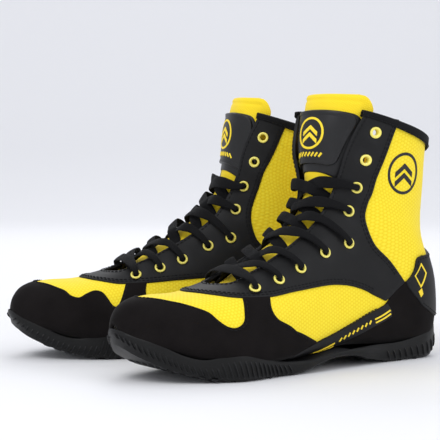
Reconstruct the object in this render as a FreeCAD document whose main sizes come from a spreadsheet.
"""A pair of high-top lace-up training boots, each built from its separate pieces.

Every boot is laid out in its own frame first: x runs from the heel (0) to the toe,
y points to the outer side of a left boot and z points up from the floor.  The upper
follows one skin surface, described by rings that fan round the ankle.  Each piece of
the upper is a slab that follows this skin at its own depth.  The right boot mirrors the left one.
"""
import FreeCAD, Part
import math
import os

Vec = FreeCAD.Vector

os.makedirs("parts", exist_ok=True)
doc = FreeCAD.newDocument("TrainingBoots")

# ---------------------------------------------------------------- driving dimensions
sheet = doc.addObject("Spreadsheet::Sheet", "Dimensions")
DIMENSIONS = [
    ("toe_out_angle", 8.76, "turn of each boot away from straight ahead, degrees"),
    ("left_turn_x", 57.6, "left boot's turning point, sideways"),
    ("left_turn_y", 16.8, "left boot's turning point, front to back"),
    ("right_turn_x", -57.6, "right boot's turning point, sideways"),
    ("right_turn_y", -11.2, "right boot's turning point: it stands a little ahead"),
    ("turning_point", 140.0, "distance from heel to the point that a boot is turned about"),
    ("overlay_thickness", 1.2, "suede and smooth overlays"),
    ("mesh_depth", 1.5, "skin to the outside of the mesh"),
    ("mesh_thickness", 1.2, "woven mesh"),
    ("stiffener_depth", 3.0, "skin to the outside of the stiffeners and the collar foam"),
    ("stiffener_thickness", 1.3, "heel counter, toe puff and collar foam"),
    ("lining_depth", 4.6, "skin to the outside of the lining"),
    ("lining_thickness", 1.8, "lining cloth with its foam backing"),
    ("eyestay_thickness", 3.0, "doubled eyestay that carries the eyelets"),
    ("board_depth", 6.7, "skin to the underside of the insole board"),
    ("board_thickness", 1.5, "insole board"),
    ("footbed_depth", 8.5, "skin to the underside of the footbed"),
    ("footbed_thickness", 4.0, "loose footbed"),
    ("tongue_depth", 7.8, "skin to the outside of the tongue under the eyestays"),
    ("tongue_crown", 3.6, "rise of the tongue in the middle of the throat"),
    ("tongue_thickness", 4.0, "padded tongue"),
    ("badge_thickness", 2.0, "patch sewn on the tongue"),
    ("binding_width", 5.5, "collar binding, down each side of the edge"),
    ("binding_rise", 1.4, "collar binding above the collar line"),
    ("seam_gap", 0.3, "gap between neighbouring pieces"),
    ("eyelet_radius", 4.1, "outside of the eyelet's flange"),
    ("eyelet_hole", 2.3, "eyelet's hole, radius"),
    ("eyelet_barrel", 2.9, "eyelet's barrel, outside radius"),
    ("eyelet_flange", 0.9, "flange above the eyestay"),
    ("eyelet_length", 4.6, "whole eyelet"),
    ("lace_diameter", 2.2, "lace, drawn as a round cord of the same section"),
    ("aglet_radius", 1.5, "lace tip"),
    ("aglet_length", 14.0, "lace tip"),
    ("midsole_inset", 4.0, "midsole inside the sole's outline"),
    ("prism_height", 60.0, "height of the prisms that the sole is cut from"),
    ("prism_width", 150.0, "width of the prisms that the sole is cut from"),
]
for row, (alias, value, meaning) in enumerate(DIMENSIONS, start=1):
    sheet.set("A%d" % row, meaning)
    sheet.set("B%d" % row, str(value))
    sheet.setAlias("B%d" % row, alias)
doc.recompute()


def size(alias):
    return float(sheet.get(alias))


# ---------------------------------------------------------------- the skin of the upper
# Each ring lies in the plane through a ridge point (front or top) and a sole point
# (bottom or back): ridge x, ridge z, sole x, sole z, half width outside, half width
# inside, sideways shift, share of the ring above its widest line, and the roundness
# of its upper and lower half (2 is an ellipse, more is squarer).
RINGS = [
    (282.0, 37.0, 282.0, 31.0, 2.0, 2.0, -5.0, 0.60, 2.0, 2.2),
    (279.0, 47.0, 279.0, 26.0, 11.0, 11.0, -5.0, 0.60, 2.0, 2.4),
    (271.0, 55.0, 271.0, 23.0, 21.5, 21.5, -4.5, 0.62, 2.1, 2.8),
    (254.0, 59.5, 254.0, 19.0, 34.0, 33.5, -3.0, 0.64, 2.2, 3.4),
    (229.0, 60.5, 229.0, 13.0, 43.5, 42.0, -1.0, 0.66, 2.2, 4.0),
    (204.0, 66.0, 204.0, 10.0, 47.5, 43.0, 0.0, 0.68, 2.2, 4.5),
    (183.0, 76.0, 178.0, 8.5, 46.0, 40.0, 0.0, 0.70, 2.2, 4.5),
    (162.0, 89.0, 142.0, 11.0, 40.5, 35.0, 0.0, 0.70, 2.2, 4.0),
    (142.0, 103.0, 100.0, 14.0, 36.0, 31.5, 0.0, 0.66, 2.3, 3.4),
    (127.0, 117.0, 52.0, 11.0, 34.0, 31.5, 0.0, 0.60, 2.4, 3.0),
    (118.0, 132.0, 10.0, 12.0, 33.5, 32.0, 0.0, 0.55, 2.5, 2.5),
    (114.0, 147.0, 4.0, 50.0, 34.0, 33.0, 0.0, 0.52, 2.6, 2.2),
    (112.5, 162.0, 18.0, 91.0, 35.0, 34.5, 0.0, 0.50, 2.6, 2.1),
    (110.5, 177.0, 15.0, 132.0, 37.0, 36.5, 0.0, 0.50, 2.6, 2.1),
    (107.0, 191.0, 13.0, 163.0, 39.0, 38.5, 0.0, 0.50, 2.6, 2.1),
    (103.5, 204.0, 11.0, 194.0, 40.5, 40.0, 0.0, 0.50, 2.6, 2.1),
]
COLLAR = len(RINGS) - 2      # the ring that is the collar line; the one above only serves the tongue
OUTER, INNER = 1, -1         # outer and inner side of the foot
BACK = 1.0                   # turn of the sole or back line; 0 is the ridge


def ring(place):
    """The ring's ten sizes at a place between the listed rings, on a smooth curve."""
    place = min(max(place, 0.0), len(RINGS) - 1.0)
    first = min(int(place), len(RINGS) - 2)
    step = place - first
    before, start = RINGS[max(first - 1, 0)], RINGS[first]
    end, after = RINGS[first + 1], RINGS[min(first + 2, len(RINGS) - 1)]
    sizes = []
    for p0, p1, p2, p3 in zip(before, start, end, after):
        leave, arrive = (p2 - p0) / 2, (p3 - p1) / 2
        sizes.append((2 * step**3 - 3 * step**2 + 1) * p1 + (step**3 - 2 * step**2 + step) * leave
                     + (3 * step**2 - 2 * step**3) * p2 + (step**3 - step**2) * arrive)
    return sizes


def skin(place, turn, squarest=9.0):
    """A point of the skin.  turn runs from 0 at the ridge to 1 (outer) or -1 (inner) at the sole line."""
    ridge_x, ridge_z, sole_x, sole_z, outer, inner, shift, upper, round_up, round_low = ring(place)
    round_low = min(round_low, squarest)
    turn = (turn + 1.0) % 2.0 - 1.0
    angle = abs(turn) * math.pi
    along, across = abs(math.cos(angle)), abs(math.sin(angle))
    above = angle < math.pi / 2
    power = round_up if above else round_low
    reach = (along**power + across**power) ** (-1.0 / power)
    share = upper * (1 - along * reach) if above else upper + (1 - upper) * along * reach
    width = outer if turn >= 0 else -inner
    return Vec(ridge_x + (sole_x - ridge_x) * share, width * across * reach + shift,
               ridge_z + (sole_z - ridge_z) * share)


def deep(place, turn, depth):
    """A point below the skin by depth, along the skin's normal.  Deep layers have rounder sole corners."""
    squarest = 2.6 if depth > 4.0 else 9.0
    place = min(max(place, 0.02), len(RINGS) - 1.02)
    along = skin(place + 0.02, turn, squarest) - skin(place - 0.02, turn, squarest)
    around = skin(place, turn + 0.004, squarest) - skin(place, turn - 0.004, squarest)
    normal = around.cross(along)
    normal.normalize()
    return skin(place, turn, squarest) - normal * depth


def at_side(x, z, side=OUTER):
    """The skin's place and turn for a point given as it looks from the side."""
    def off(place):
        ridge_x, ridge_z, sole_x, sole_z = ring(place)[:4]
        return (sole_x - ridge_x) * (z - ridge_z) - (sole_z - ridge_z) * (x - ridge_x)
    steps = [0.25 * k for k in range(4 * COLLAR + 5)]
    for low, high in zip(steps, steps[1:]):
        if off(low) * off(high) > 0:
            continue
        for _ in range(30):
            middle = (low + high) / 2
            low, high = (middle, high) if off(low) * off(middle) > 0 else (low, middle)
        ridge_x, ridge_z, sole_x, sole_z, _, _, _, upper, round_up, round_low = ring(low)
        length = math.hypot(sole_x - ridge_x, sole_z - ridge_z)
        share = math.hypot(x - ridge_x, z - ridge_z) / length
        if share > 1.02:
            continue
        share = min(share, 0.9999)
        above = share < upper
        level = 1 - share / upper if above else (share - upper) / (1 - upper)
        power = round_up if above else round_low
        level = min(max(level, 1e-4), 0.9999)
        angle = math.atan((level**-power - 1) ** (1.0 / power))
        turn = angle / math.pi if above else 1 - angle / math.pi
        return low, side * turn
    raise ValueError("no ring passes through %s, %s" % (x, z))


def at_width(place, width):
    """The skin's place and turn on a ring, in its upper half, where it is width from the middle."""
    outer, inner, shift, round_up = [ring(place)[k] for k in (4, 5, 6, 8)]
    level = min(abs((width - shift) / (outer if width >= 0 else inner)), 0.999)
    angle = math.pi / 2 - math.atan((level**-round_up - 1) ** (1.0 / round_up))
    return place, math.copysign(angle / math.pi, width)


# ---------------------------------------------------------------- slabs that follow the skin
def along_points(points, share):
    """The point at a share of the way along a list of (place, turn) points."""
    lengths = [math.hypot((b[0] - a[0]) * 18, (b[1] - a[1]) * 110) for a, b in zip(points, points[1:])]
    rest = share * sum(lengths)
    for a, b, length in zip(points, points[1:], lengths):
        if rest <= length or b is points[-1]:
            part = rest / length if length else 0
            return a[0] + (b[0] - a[0]) * part, a[1] + (b[1] - a[1]) * part
        rest -= length


def spread(start, end, first, last, columns, rows):
    """A grid of (place, turn) filling four edges: start and end run from first to last."""
    grid = []
    margin = 0.012
    for i in range(columns + 1):
        s = margin + (1 - 2 * margin) * i / columns
        line = []
        for j in range(rows + 1):
            r = margin + (1 - 2 * margin) * j / rows
            a, b = along_points(start, r), along_points(end, r)
            c, d = along_points(first, s), along_points(last, s)
            corners = (start[0], end[0], start[-1], end[-1])
            weights = ((1 - s) * (1 - r), s * (1 - r), (1 - s) * r, s * r)
            line.append(tuple((1 - s) * a[k] + s * b[k] + (1 - r) * c[k] + r * d[k]
                              - sum(w * p[k] for w, p in zip(weights, corners)) for k in (0, 1)))
        grid.append(line)
    return grid


def leaning_poles(points):
    """Poles for a cubic surface near a grid of points: they lean outwards where the grid bends."""
    def sharpened(line):
        middle = [b + (b * 2 - a - c) * (1 / 6) for a, b, c in zip(line, line[1:], line[2:])]
        return [line[0]] + middle + [line[-1]]

    rows = [sharpened(line) for line in points]
    columns = [sharpened(list(column)) for column in zip(*rows)]
    return [list(row) for row in zip(*columns)]


def even_knots(count, degree):
    knots = [k / (count - degree) for k in range(count - degree + 1)]
    return knots, [degree + 1] + [1] * (count - degree - 1) + [degree + 1]


def face_from(poles):
    """A B-spline face on poles: cubic, or straight across where there are only two rows."""
    degree = 3 if len(poles) > 3 else 1
    knots, repeats = even_knots(len(poles), degree)
    other_knots, other_repeats = even_knots(len(poles[0]), 3)
    surface = Part.BSplineSurface()
    surface.buildFromPolesMultsKnots(poles, repeats, other_repeats, knots, other_knots,
                                     False, False, degree, 3)
    return surface.toShape()


def between(outer_points, inner_points):
    """A closed solid between two grids of points, with straight sides."""
    outer, inner = leaning_poles(outer_points), leaning_poles(inner_points)
    faces = [face_from(outer), face_from(inner)]
    for k in (0, -1):
        faces.append(face_from([outer[k], inner[k]]))
        faces.append(face_from([[row[k] for row in outer], [row[k] for row in inner]]))
    shell = Part.makeShell(faces)
    shell.sewShape()
    solid = Part.makeSolid(shell)
    if solid.Volume < 0:
        solid.reverse()
    return solid


def slab(grid, outer_depth, inner_depth):
    """A closed solid between two depths below the skin.  A depth is a number or a rule of place and turn."""
    layers = []
    for depth in (outer_depth, inner_depth):
        rule = depth if callable(depth) else (lambda place, turn, depth=depth: depth)
        layers.append([[deep(u, v, rule(u, v)) for u, v in line] for line in grid])
    return between(*layers)


def strip(first, last, outer_depth, inner_depth, columns=14, rows=4):
    """A slab between two edges that run the same way; its ends are straight."""
    return slab(spread([first[0], last[0]], [first[-1], last[-1]], first, last, columns, rows),
                outer_depth, inner_depth)


def seen(points, side=OUTER):
    """(place, turn) of points given as they look from the side."""
    return [at_side(x, z, side) for x, z in points]


def other(points):
    """The same points on the inner side of the foot."""
    return [(place, -turn) for place, turn in points]


def round_back(points):
    """Points of the inner side counted on past the back line, so that a slab can run round the heel."""
    return [(place, 2 * BACK - turn) for place, turn in points]


# ---------------------------------------------------------------- seam lines, as seen from the side
SHAFT_FOOT = [(88, 105), (76, 86), (66, 75), (53, 61)]
SHAFT_BACK = [(53, 61), (44, 69), (40, 80)]
STRIP_TOP = [(180, 14), (160, 15), (140, 22), (106, 32), (71, 45)]
FEATHER = [(279, 29), (264, 24), (250, 19), (236, 16), (222, 18), (208, 19), (196, 17), (180, 13)]
TOE_CAP_TOP = [(210, 40), (220, 40), (229, 49), (243, 55), (256, 59)]
THROAT = [(14.0, 33.0), (13.0, 29.0), (12.0, 25.0), (11.0, 21.5), (10.0, 18.5), (8.0, 18.0), (6.0, 17.5),
          (5.2, 15.0)]
EYELETS_OUTER = [(85, 171), (91, 151), (96, 131), (102, 114), (105, 91), (126, 85), (149, 75), (169, 68),
                 (189, 63)]
EYELETS_INNER = [(88, 168), (94, 149), (101, 130), (107, 112), (112, 90), (130, 84), (151, 74), (169, 68),
                 (188, 63)]
FIRST_LACED = 2              # the two top eyelets on each side stay free
HINGE_PLACE = 11.35          # ring where the tongue folds, above the top laced eyelets
TONGUE_TOP_PLACE = 14.75
TONGUE_HALF = 31.0           # half the tongue's width in the throat
TONGUE_TOP_HALF = 35.5       # and where it stands free of it
BADGE_HALF = 26.5
SOLE_TURN = 0.80             # turn where the upper's side meets the sole


def throat(side, widen=0.0):
    return [at_width(place, side * (width + widen)) for place, width in THROAT]


def overlay(points_a, points_b, columns=14, rows=4):
    return strip(points_a, points_b, 0.0, size("overlay_thickness"), columns, rows)


def mesh_panel(points_a, points_b, columns=12, rows=6):
    depth = size("mesh_depth")
    return strip(points_a, points_b, depth, depth + size("mesh_thickness"), columns, rows)


def stiffener(points_a, points_b, columns=12, rows=6):
    depth = size("stiffener_depth")
    return strip(points_a, points_b, depth, depth + size("stiffener_thickness"), columns, rows)


# ---------------------------------------------------------------- the upper's pieces, left boot
def lining():
    """One sock of padded cloth: open at the collar and the throat, closed by a seam along the toe."""
    behind_eyelets = 0.045
    seam = 0.004

    def edge(points, side):
        spots = seen(points)
        turns = [(COLLAR, spots[0][1] + behind_eyelets)]
        turns += [(place, turn + behind_eyelets) for place, turn in spots]
        turns += [(4.8, seam), (3.4, seam), (2.2, seam), (1.25, seam)]
        return turns if side == OUTER else round_back(turns)

    depth = size("lining_depth")
    return strip(edge(EYELETS_OUTER, OUTER), edge(EYELETS_INNER, INNER),
                 depth, depth + size("lining_thickness"), 44, 30)


def heel_counter():
    """Stiff cup round the heel, from the sole up to the ankle."""
    low = seen([(88, 22), (66, 22), (44, 22), (26, 24)])
    low += [(10.35, BACK)] + round_back(low[::-1])
    high = seen([(84, 44), (66, 56), (48, 62), (30, 66)])
    high += [(11.5, BACK)] + round_back(high[::-1])
    return stiffener(low, high, 26, 6)


def toe_puff():
    return stiffener([(0.5, SOLE_TURN), (0.5, -SOLE_TURN)], [(2.6, 0.74), (2.9, 0.0), (2.6, -0.74)], 16, 6)


def collar_foam():
    front = 0.38
    return stiffener([(13.1, front), (13.1, 2 - front)], [(13.85, front), (13.85, 2 - front)], 24, 4)


def vamp_mesh():
    under_cap, under_eyestay, side_turn = 2.2, 4.95, 0.47
    return mesh_panel([(under_cap, side_turn), (under_cap, -side_turn)],
                      [(under_eyestay, side_turn), (under_eyestay, -side_turn)], 12, 20)


def quarter_mesh(side):
    top = seen([(198, 57), (180, 58.5), (138, 61.5), (106, 61), (88, 70), (70, 76), (50, 62)])
    low = seen([(198, 20), (180, 17), (142, 15), (110, 17), (80, 17), (60, 17), (40, 20)])
    points = (top, low) if side == OUTER else (other(top), other(low))
    return mesh_panel(*points)


def shaft_mesh(side):
    front = [at_side(66, 181), at_side(78, 147), at_side(88, 117), at_side(88, 106)]
    back = [(13.9, 0.995), (13.0, 0.995), (12.2, 0.995), (11.7, 0.995)]
    points = (front, back) if side == OUTER else (other(front), other(back))
    return mesh_panel(*points)


def toe_cap():
    sole = [(0.25, SOLE_TURN), (0.25, 0.4), (0.25, 0.0), (0.25, -0.4), (0.25, -SOLE_TURN)]
    side = seen(TOE_CAP_TOP)
    top = side + [(2.75, 0.0)] + other(side[::-1])
    grid = spread([sole[0], seen(FEATHER)[5]], [sole[-1], other(seen(FEATHER))[5]],
                  sole, [seen(FEATHER)[5]] + top + [other(seen(FEATHER))[5]], 22, 8)
    return slab(grid, 0.0, size("overlay_thickness"))


def forefoot_strap(side):
    front = seen([(206, 56), (207, 46), (207, 36), (205, 22)])
    back = seen([(182, 57), (182, 46), (182, 34), (181, 16)])
    return overlay(*((front, back) if side == OUTER else (other(front), other(back))), 8, 5)


def eyestay(side):
    outside = seen([(66, 181), (78, 147), (88, 117), (88, 106), (106, 62), (138, 62), (160, 61), (180, 59),
                    (204, 58)])
    points = (throat(OUTER), outside) if side == OUTER else (throat(INNER), other(outside))
    shape = strip(*points, 0.0, size("eyestay_thickness"), 26, 6)
    return shape.cut(Part.makeCompound(eyelet_holes(side))).Solids[0]


def arch_strip(side):
    top = seen(STRIP_TOP[::-1])
    low = seen([(64, 20), (90, 17), (120, 16), (146, 14), (172, 12.5)])
    return overlay(*((top, low) if side == OUTER else (other(top), other(low))), 12, 4)


def heel_overlay():
    top = seen(SHAFT_FOOT + SHAFT_BACK[1:])
    top = top + [(11.85, BACK)] + round_back(top[::-1])
    low = seen([(105, 61.5), (90, 56.5), (71, 48.5), (63, 36), (56, 22), (32, 20)])
    low = low + [(10.35, BACK)] + round_back(low[::-1])
    return overlay(low, top, 34, 6)


def heel_strap():
    """The stiff pull strip up the back of the heel, over the heel overlay."""
    half = 0.16
    return strip([(10.6, BACK - half), (11.2, BACK - half), (11.9, BACK - half * 0.6)],
                 [(10.6, BACK + half), (11.2, BACK + half), (11.9, BACK + half * 0.6)],
                 -size("seam_gap") - size("overlay_thickness"), -size("seam_gap"), 8, 8)


def collar_binding():
    """Folded tape over the collar's edge, from one eyestay round the back to the other."""
    front_outer, front_inner = at_width(COLLAR, THROAT[0][1])[1], 2 - at_width(COLLAR, THROAT[0][1])[1]
    tape, ring_step = 0.7, 30.0
    outside, inside = -1.0, size("lining_depth") + size("lining_thickness") + 1.0
    low = COLLAR - size("binding_width") / ring_step
    top = COLLAR + 0.03
    crest = top + size("binding_rise") / ring_step
    middle = (outside + inside) / 2
    over = [(low, outside), (top, outside), (crest, outside + 1.5), (crest + 0.02, middle),
            (crest, inside - 1.5), (top, inside), (low, inside)]
    under = [(low, outside + tape), (top - 0.02, outside + tape), (crest - 0.035, outside + 1.9),
             (crest - 0.02, middle), (crest - 0.035, inside - 1.9), (top - 0.02, inside - tape),
             (low, inside - tape)]
    columns = 40
    turns = [front_outer + (front_inner - front_outer) * k / columns for k in range(columns + 1)]
    layers = [[[deep(place, turn, depth) for place, depth in path] for turn in turns]
              for path in (over, under)]
    return between(*layers)


def tongue_rule(place, turn):
    """Depth of the tongue's outside: it rises between the eyestays and dips under them."""
    throat_turn, sewn_end, free_end = 0.20, 5.3, 6.3
    side = min(1.0, abs(turn) / throat_turn)
    free = min(1.0, max(0.0, (place - sewn_end) / (free_end - sewn_end)))
    return size("tongue_depth") - size("tongue_crown") * (1 - side * side) * free


def tongue_piece(low, high, half=TONGUE_HALF, outside=0.0, thickness=None, columns=12):
    """A slab of the tongue's curve between two rings."""
    thickness = thickness or size("tongue_thickness")
    places = [low + (high - low) * k / columns for k in range(columns + 1)]
    left = [at_width(u, min(half, 0.9 * ring(u)[4])) for u in places]
    right = [at_width(u, -min(half, 0.9 * ring(u)[5])) for u in places]
    return strip(left, right, lambda u, v: tongue_rule(u, v) + outside,
                 lambda u, v: tongue_rule(u, v) + outside + thickness, columns, 10)


def tongue():
    return tongue_piece(5.0, HINGE_PLACE - 0.06)


def tongue_top():
    return tongue_piece(HINGE_PLACE + 0.06, TONGUE_TOP_PLACE, TONGUE_TOP_HALF)


def tongue_badge():
    thickness = size("badge_thickness")
    badge_top = 14.05
    return tongue_piece(HINGE_PLACE + 0.25, badge_top, BADGE_HALF, -thickness - size("seam_gap"), thickness)


# ---------------------------------------------------------------- eyelets and lace
def eyelet_spots(side):
    """(place, turn) of the eyelets, from the top of the shaft down to the toe."""
    return seen(EYELETS_OUTER) if side == OUTER else other(seen(EYELETS_INNER))


def eyelet_frame(place, turn, depth=0.0):
    """Where an eyelet sits: its origin on the skin, +Z pointing out of the boot."""
    base = deep(place, turn, depth)
    outward = deep(place, turn, -1.0) - deep(place, turn, 0.0)
    return FreeCAD.Placement(base, FreeCAD.Rotation(Vec(0, 0, 1), outward))


def eyelet_holes(side):
    """The round cutters that open the eyestay for its eyelets."""
    cutters = []
    for place, turn in eyelet_spots(side):
        cutter = Part.makeCylinder(size("eyelet_barrel") + 0.15, 16, Vec(0, 0, -8))
        cutter.Placement = eyelet_frame(place, turn)
        cutters.append(cutter)
    return cutters


def eyelet_master():
    """One pressed eyelet, a flange and a barrel with a round hole."""
    flange = doc.addObject("Part::Cylinder", "eyelet_flange")
    flange.setExpression("Radius", "Dimensions.eyelet_radius")
    flange.setExpression("Height", "Dimensions.eyelet_flange")
    barrel = doc.addObject("Part::Cylinder", "eyelet_barrel")
    barrel.setExpression("Radius", "Dimensions.eyelet_barrel")
    barrel.setExpression("Height", "Dimensions.eyelet_length")
    barrel.setExpression("Placement.Base.z", "Dimensions.eyelet_flange - Dimensions.eyelet_length")
    bore = doc.addObject("Part::Cylinder", "eyelet_bore")
    bore.setExpression("Radius", "Dimensions.eyelet_hole")
    bore.setExpression("Height", "3 * Dimensions.eyelet_length")
    bore.setExpression("Placement.Base.z", "-1.5 * Dimensions.eyelet_length")
    body = doc.addObject("Part::Fuse", "eyelet_body")
    body.Base, body.Tool = flange, barrel
    master = doc.addObject("Part::Cut", "eyelet_master")
    master.Base, master.Tool = body, bore
    doc.recompute()
    return master.Shape


def eyelets(master):
    stand_off = 0.35
    rings = []
    for side in (OUTER, INNER):
        for place, turn in eyelet_spots(side):
            eyelet = master.copy()
            eyelet.Placement = eyelet_frame(place, turn, -stand_off)
            rings.append(eyelet)
    return Part.makeCompound(rings)


ABOVE, BELOW = -3.5, 5.35    # lace's depth over an eyelet's flange and under the eyestay
TUCKED = 6.0                 # depth of its tips, between the eyestay and the tongue


def throat_turn(place):
    """Turn of the throat's edge at a place."""
    for (high, wide), (low, narrow) in zip(THROAT, THROAT[1:]):
        if place >= low:
            break
    share = min(max((place - low) / (high - low), 0.0), 1.0)
    return at_width(place, narrow + (wide - narrow) * share)[1]


def lace_leg(start, end, crossing, over):
    """Points from under one eyelet, across the tongue and down into the next eyelet on the other side."""
    side = 1 if start[1] > 0 else -1

    def spot(share, edges, depth):
        """A point on the leg; edges is its place across, from one throat edge (1) to the other (-1)."""
        place = start[0] + (end[0] - start[0]) * share
        return place, side * edges * throat_turn(place), depth

    return [(start[0], start[1], BELOW), spot(0.17, 1.05, BELOW - 0.35),
            spot(0.28, 0.75, 4.2), spot(0.38, 0.42, crossing + 0.7), spot(0.5, 0.0, crossing),
            spot(0.62, -0.42, crossing - 1.1), spot(0.72, -0.75, over + 0.9), spot(0.82, -1.05, over),
            (end[0], end[1], ABOVE)]


def lace_points(first_side):
    """One half of the lace, from the bar at the toe end up to its tucked-in tip."""
    crossing = 2.45 if first_side == OUTER else -0.2
    sides = {OUTER: eyelet_spots(OUTER), INNER: eyelet_spots(INNER)}
    side, points = first_side, []
    for number in range(len(EYELETS_OUTER) - 1, FIRST_LACED, -1):
        leg = lace_leg(sides[side][number], sides[-side][number - 1], crossing, ABOVE - 0.6)
        points += leg
        side = -side
    last = sides[side][FIRST_LACED]
    points.append((last[0], last[1], BELOW))
    return points, side


def lace_route():
    """The whole lace from tip to tip, and the side of the foot where each tip is tucked in."""
    outer_half, outer_tip = lace_points(OUTER)
    inner_half, inner_tip = lace_points(INNER)
    low = len(EYELETS_OUTER) - 1
    outer_start, inner_start = eyelet_spots(OUTER)[low], eyelet_spots(INNER)[low]
    bar = [(outer_start[0], outer_start[1], ABOVE), (outer_start[0], 0.10, ABOVE - 0.4),
           (inner_start[0], -0.10, ABOVE - 0.4), (inner_start[0], inner_start[1], ABOVE)]
    places = outer_half[::-1] + bar + inner_half
    return [deep(*spot) for spot in places], outer_tip, inner_tip


def tip_points(side):
    """The end of the lace: up under the eyestay, beside the tongue."""
    spots = eyelet_spots(side)
    start, end = spots[FIRST_LACED], spots[0]
    outboard = 0.012
    sign = 1 if side == OUTER else -1
    shares = (0.25, 0.48)
    return [deep(start[0] + (end[0] - start[0]) * share,
                 start[1] + (end[1] - start[1]) * share + sign * outboard, TUCKED) for share in shares]


def rounded_wire(points, small):
    """Straight runs joined by tangent arcs; small is the radius where the lace folds through an eyelet."""
    edges, start, radii = [], points[0], []
    for before, corner, after in zip(points, points[1:], points[2:]):
        into, out = corner - before, after - corner
        turn = into.getAngle(out)
        if turn < 0.02:
            continue
        half = math.tan(turn / 2)
        radius = 0.45 * min(into.Length, out.Length) / half
        if turn > 1.2:
            radius = min(radius, small)
        into.normalize()
        out.normalize()
        reach = radius * half
        enter, leave = corner - into * reach, corner + out * reach
        bisector = out - into
        bisector.normalize()
        centre_way = radius / math.cos(turn / 2) - radius
        middle = corner + bisector * centre_way
        edges += [Part.LineSegment(start, enter).toShape(), Part.Arc(enter, middle, leave).toShape()]
        start = leave
        radii.append(radius)
    edges.append(Part.LineSegment(start, points[-1]).toShape())
    return Part.Wire(edges), radii


def tube(wire, radius):
    start = wire.Edges[0]
    direction = start.tangentAt(start.FirstParameter)
    circle = Part.Wire([Part.makeCircle(radius, start.valueAt(start.FirstParameter), direction)])
    return wire.makePipeShell([circle], True, True)


def lace_and_tips():
    route, start_side, end_side = lace_route()
    first, last = tip_points(start_side), tip_points(end_side)
    points = first[::-1] + route + last
    wire, radii = rounded_wire(points, 1.35)
    radius = size("lace_diameter") / 2
    lace = tube(wire, radius)
    expected = math.pi * radius * radius * wire.Length
    print("lace length %.0f mm, radii %.1f to %.1f mm, volume %.3f of section times length"
          % (wire.Length, min(radii), max(radii), lace.Volume / expected))
    tips = []
    for beside, end in ((first[0], first[1]), (last[0], last[1])):
        way = end - beside
        way.normalize()
        tips.append(Part.makeCylinder(size("aglet_radius"), size("aglet_length"), end, way))
    return lace, Part.makeCompound(tips)


# ---------------------------------------------------------------- sole
SOLE_OUTER = [(6, 17), (20, 27), (45, 33), (80, 34.5), (115, 37), (150, 42), (185, 48.5), (210, 50),
              (235, 45.5), (258, 35), (275, 18)]
SOLE_INNER = [(6, -17), (20, -26.5), (45, -31.5), (80, -31.5), (115, -32.5), (150, -37), (185, -42.5),
              (210, -45.5), (235, -44.5), (258, -38.5), (275, -26)]
SOLE_TIP = (285, -5)
# the sole from the side, toe to heel: each line is a chain of smooth stretches and flats
GROUND_LINE = [[(285, 31), (276, 21), (262, 12.5), (245, 6), (225, 1.5), (208, 0)], [(208, 0), (158, 0)],
               [(158, 0), (146, 2), (132, 6), (118, 8.5), (100, 8), (80, 3), (62, 0)], [(62, 0), (20, 0)],
               [(20, 0), (8, 4), (1.5, 12), (0, 22)]]
FLOOR_LINE = [[(276, 28), (262, 17.5), (245, 10), (225, 5.5), (208, 4)], [(208, 4), (158, 4)],
              [(158, 4), (146, 6), (132, 9.5), (118, 11.5), (100, 11), (80, 6.5), (62, 4)],
              [(62, 4), (24, 4)],
              [(24, 4), (10, 7.5), (5, 14)]]
CUP_LINE = [[(285, 37), (268, 28), (252, 20), (236, 16.5), (224, 18), (211, 19.5), (197, 17.5), (184, 14),
             (171, 11), (160, 10), (146, 10), (132, 11.5), (110, 13.5), (90, 14.5), (75, 14.5), (53, 14.5),
             (34, 17), (20, 20.5), (8, 25), (0, 29)]]
ROOM_LINE = [[(276, 33), (262, 27), (245, 20), (225, 15), (204, 12.5), (178, 11), (142, 12), (100, 15),
              (52, 12.5), (24, 15), (5, 23)]]


def outline(points, closed=True):
    curve = Part.BSplineCurve()
    curve.interpolate(points, PeriodicFlag=closed)
    return curve.toShape()


def sole_outline(inset, side):
    """The sole's outline seen from above, moved inwards by inset."""
    ring_points = [Vec(0, 0, 0)] + [Vec(x, y, 0) for x, y in SOLE_OUTER] + [Vec(*SOLE_TIP, 0)]
    ring_points += [Vec(x, y, 0) for x, y in reversed(SOLE_INNER)]
    middle = Vec(size("turning_point"), 0, 0)
    moved = []
    neighbours = zip(ring_points[-1:] + ring_points[:-1], ring_points, ring_points[1:] + ring_points[:1])
    for before, point, after in neighbours:
        way = after - before
        inward = Vec(way.y, -way.x, 0)
        inward.normalize()
        if inward.dot(middle - point) < 0:
            inward = inward * -1
        point = point + inward * inset
        moved.append(Vec(point.x, point.y * side, 0))
    return Part.Wire([outline(moved)])


def chain(stretches):
    """Edges through a chain of stretches; a smooth stretch meets a flat one without a corner."""
    edges = []
    level = Vec(-1, 0, 0)
    for number, stretch in enumerate(stretches):
        points = [Vec(x, 0, z) for x, z in stretch]
        if len(points) == 2:
            edges.append(Part.LineSegment(*points).toShape())
            continue
        curve = Part.BSplineCurve()
        pull = 0.8 * (points[-1] - points[0]).Length
        ends = {}
        if number > 0:
            ends["InitialTangent"] = level * pull
        if number < len(stretches) - 1:
            ends["FinalTangent"] = level * pull
        if len(ends) == 2:
            curve.interpolate(Points=points, **ends)
        elif ends:
            free = points[1] - points[0] if "FinalTangent" in ends else points[-1] - points[-2]
            free.normalize()
            curve.interpolate(Points=points, InitialTangent=ends.get("InitialTangent", free * pull),
                              FinalTangent=ends.get("FinalTangent", free * pull))
        else:
            curve.interpolate(points)
        edges.append(curve.toShape())
    return edges


def side_outline(low_stretches, high_stretches):
    """A closed outline in the side view: a lower line, an upper line and two straight ends."""
    def end(stretches, last):
        x, z = stretches[-1][-1] if last else stretches[0][0]
        return Vec(x, 0, z)
    edges = chain(low_stretches) + chain(high_stretches)
    for last in (False, True):
        edges.append(Part.LineSegment(end(low_stretches, last), end(high_stretches, last)).toShape())
    return Part.Wire(Part.__sortEdges__(edges))


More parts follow.
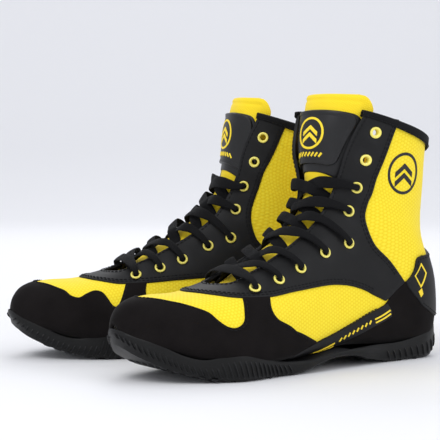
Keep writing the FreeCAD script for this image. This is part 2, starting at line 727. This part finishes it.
def prism(name, wire, direction, length_alias, shift):
    """A solid prism over an outline."""
    base = doc.addObject("Part::Feature", name + "_outline")
    base.Shape = wire
    base.Placement = FreeCAD.Placement(shift, FreeCAD.Rotation())
    solid = doc.addObject("Part::Extrusion", name)
    solid.Base = base
    solid.DirMode = "Custom"
    solid.Dir = direction
    solid.Solid = True
    solid.setExpression("LengthFwd", "Dimensions." + length_alias)
    return solid


def foot_room(name, side):
    """The lower half of the space that the upper fills: a boat shape that hollows the sole and midsole."""
    rim_turn, stations, steps = 0.36, 25, 28
    hull, deck = [], []
    for i in range(stations):
        place = 0.25 + (11.2 - 0.25) * i / (stations - 1)
        turns = [rim_turn + 2 * (1 - rim_turn) * j / steps for j in range(steps + 1)]
        points = [deep(place, turn, -size("seam_gap")) for turn in turns]
        ridge, rim, far_rim = deep(place, 0.0, 0.0), points[0], points[-1]
        lift = (ridge - (rim + far_rim) * 0.5) * 0.15
        hull.append([Vec(point.x, point.y * side, point.z) for point in points])
        line = [rim + (far_rim - rim) * (0.02 + 0.96 * j / steps) + lift for j in range(steps + 1)]
        deck.append([Vec(point.x, point.y * side, point.z) for point in line])
    solid = doc.addObject("Part::Feature", name)
    solid.Shape = between(hull, deck)
    return solid


def combine(kind, name, base, tool):
    result = doc.addObject(kind, name)
    result.Base, result.Tool = base, tool
    return result


def sole_parts(boot, side):
    """The rubber cup sole and the foam midsole inside it, cut from prisms of the two outlines."""
    up, across = Vec(0, 0, 1), Vec(0, 1, 0)
    below, beside = Vec(0, 0, -5), Vec(0, -size("prism_width") / 2, 0)
    plan = prism(boot + "_sole_plan", sole_outline(0.0, side), up, "prism_height", below)
    profile = prism(boot + "_sole_profile", side_outline(GROUND_LINE, CUP_LINE), across, "prism_width",
                    beside)
    room = foot_room(boot + "_foot_room", side)
    pocket_plan = prism(boot + "_pocket_plan", sole_outline(size("midsole_inset"), side), up, "prism_height",
                        below)
    pocket_profile = prism(boot + "_pocket_profile", side_outline(FLOOR_LINE, ROOM_LINE), across,
                           "prism_width", beside)
    block = combine("Part::Common", boot + "_sole_block", plan, profile)
    cup = combine("Part::Cut", boot + "_sole_cup", block, room)
    pocket = combine("Part::Common", boot + "_sole_pocket", pocket_plan, pocket_profile)
    outsole = combine("Part::Cut", boot + "_outsole_solid", cup, pocket)
    midsole = combine("Part::Cut", boot + "_midsole_solid", pocket, room)
    return {"outsole": outsole, "midsole": midsole}


def insole_board():
    return insole_layer("board")


def footbed():
    return insole_layer("footbed")


def insole_layer(name):
    """A layer on the bottom of the lining, from under the toes to the heel."""
    flank = [(1.5, 0.84), (4.0, 0.80), (6.0, 0.80), (8.0, 0.84), (9.5, 0.87), (10.12, 0.90)]
    depth = size(name + "_depth")
    return strip(flank, round_back(flank), depth, depth + size(name + "_thickness"), 26, 10)


def upper_parts(master):
    """Every piece of a left boot's upper, by name."""
    lace, tips = lace_and_tips()
    parts = {"insole_board": insole_board(), "footbed": footbed(), "lining": lining(),
             "heel_counter": heel_counter(), "toe_puff": toe_puff(), "collar_foam": collar_foam(),
             "vamp_mesh": vamp_mesh(), "toe_cap": toe_cap(), "heel_overlay": heel_overlay(),
             "heel_strap": heel_strap(), "collar_binding": collar_binding(), "tongue": tongue(),
             "tongue_top": tongue_top(), "tongue_badge": tongue_badge(), "eyelets": eyelets(master),
             "lace": lace, "lace_tips": tips}
    pairs = {"quarter_mesh": quarter_mesh, "shaft_mesh": shaft_mesh, "forefoot_strap": forefoot_strap,
             "eyestay": eyestay, "arch_strip": arch_strip}
    for name, build in pairs.items():
        parts[name + "_outer"] = build(OUTER)
        parts[name + "_inner"] = build(INNER)
    return parts


# ---------------------------------------------------------------- both boots in the pair's frame
# The pair stands with its toes towards -Y; the left boot is at +X.
turning_point = Vec(size("turning_point"), 0, 0)
standing = {
    "left": (1, Vec(size("left_turn_x"), size("left_turn_y"), 0), size("toe_out_angle") - 90),
    "right": (-1, Vec(size("right_turn_x"), size("right_turn_y"), 0), -size("toe_out_angle") - 90),
}
pieces = []
left_upper = upper_parts(eyelet_master())
for boot, (side, stand, angle) in standing.items():
    turned = FreeCAD.Rotation(Vec(0, 0, 1), angle)
    placement = FreeCAD.Placement(stand - turned.multVec(turning_point), turned)
    for name, piece in sole_parts(boot, side).items():
        piece.Label = boot + "_" + name
        piece.Placement = placement
        pieces.append(piece)
    for name, shape in left_upper.items():
        piece = doc.addObject("Part::Feature", boot + "_" + name)
        piece.Label = boot + "_" + name
        piece.Shape = shape if side == 1 else shape.mirror(Vec(0, 0, 0), Vec(0, 1, 0))
        piece.Placement = placement
        pieces.append(piece)
doc.recompute()

for item in doc.Objects:
    if "Invalid" in item.State or "Error" in item.State:
        raise RuntimeError(item.Label + " failed")
whole = FreeCAD.BoundBox()
faulty = [piece.Label for piece in pieces if piece.Shape.isNull() or not piece.Shape.isValid()]
if faulty:
    raise RuntimeError("no valid shape: " + ", ".join(faulty))
for piece in pieces:
    whole.add(piece.Shape.optimalBoundingBox(True, False))
print("box %.1f %.1f %.1f to %.1f %.1f %.1f"
      % (whole.XMin, whole.YMin, whole.ZMin, whole.XMax, whole.YMax, whole.ZMax))
for piece in pieces:
    piece.Shape.exportStep("parts/" + piece.Label + ".step")
print(len(pieces), "pieces written")
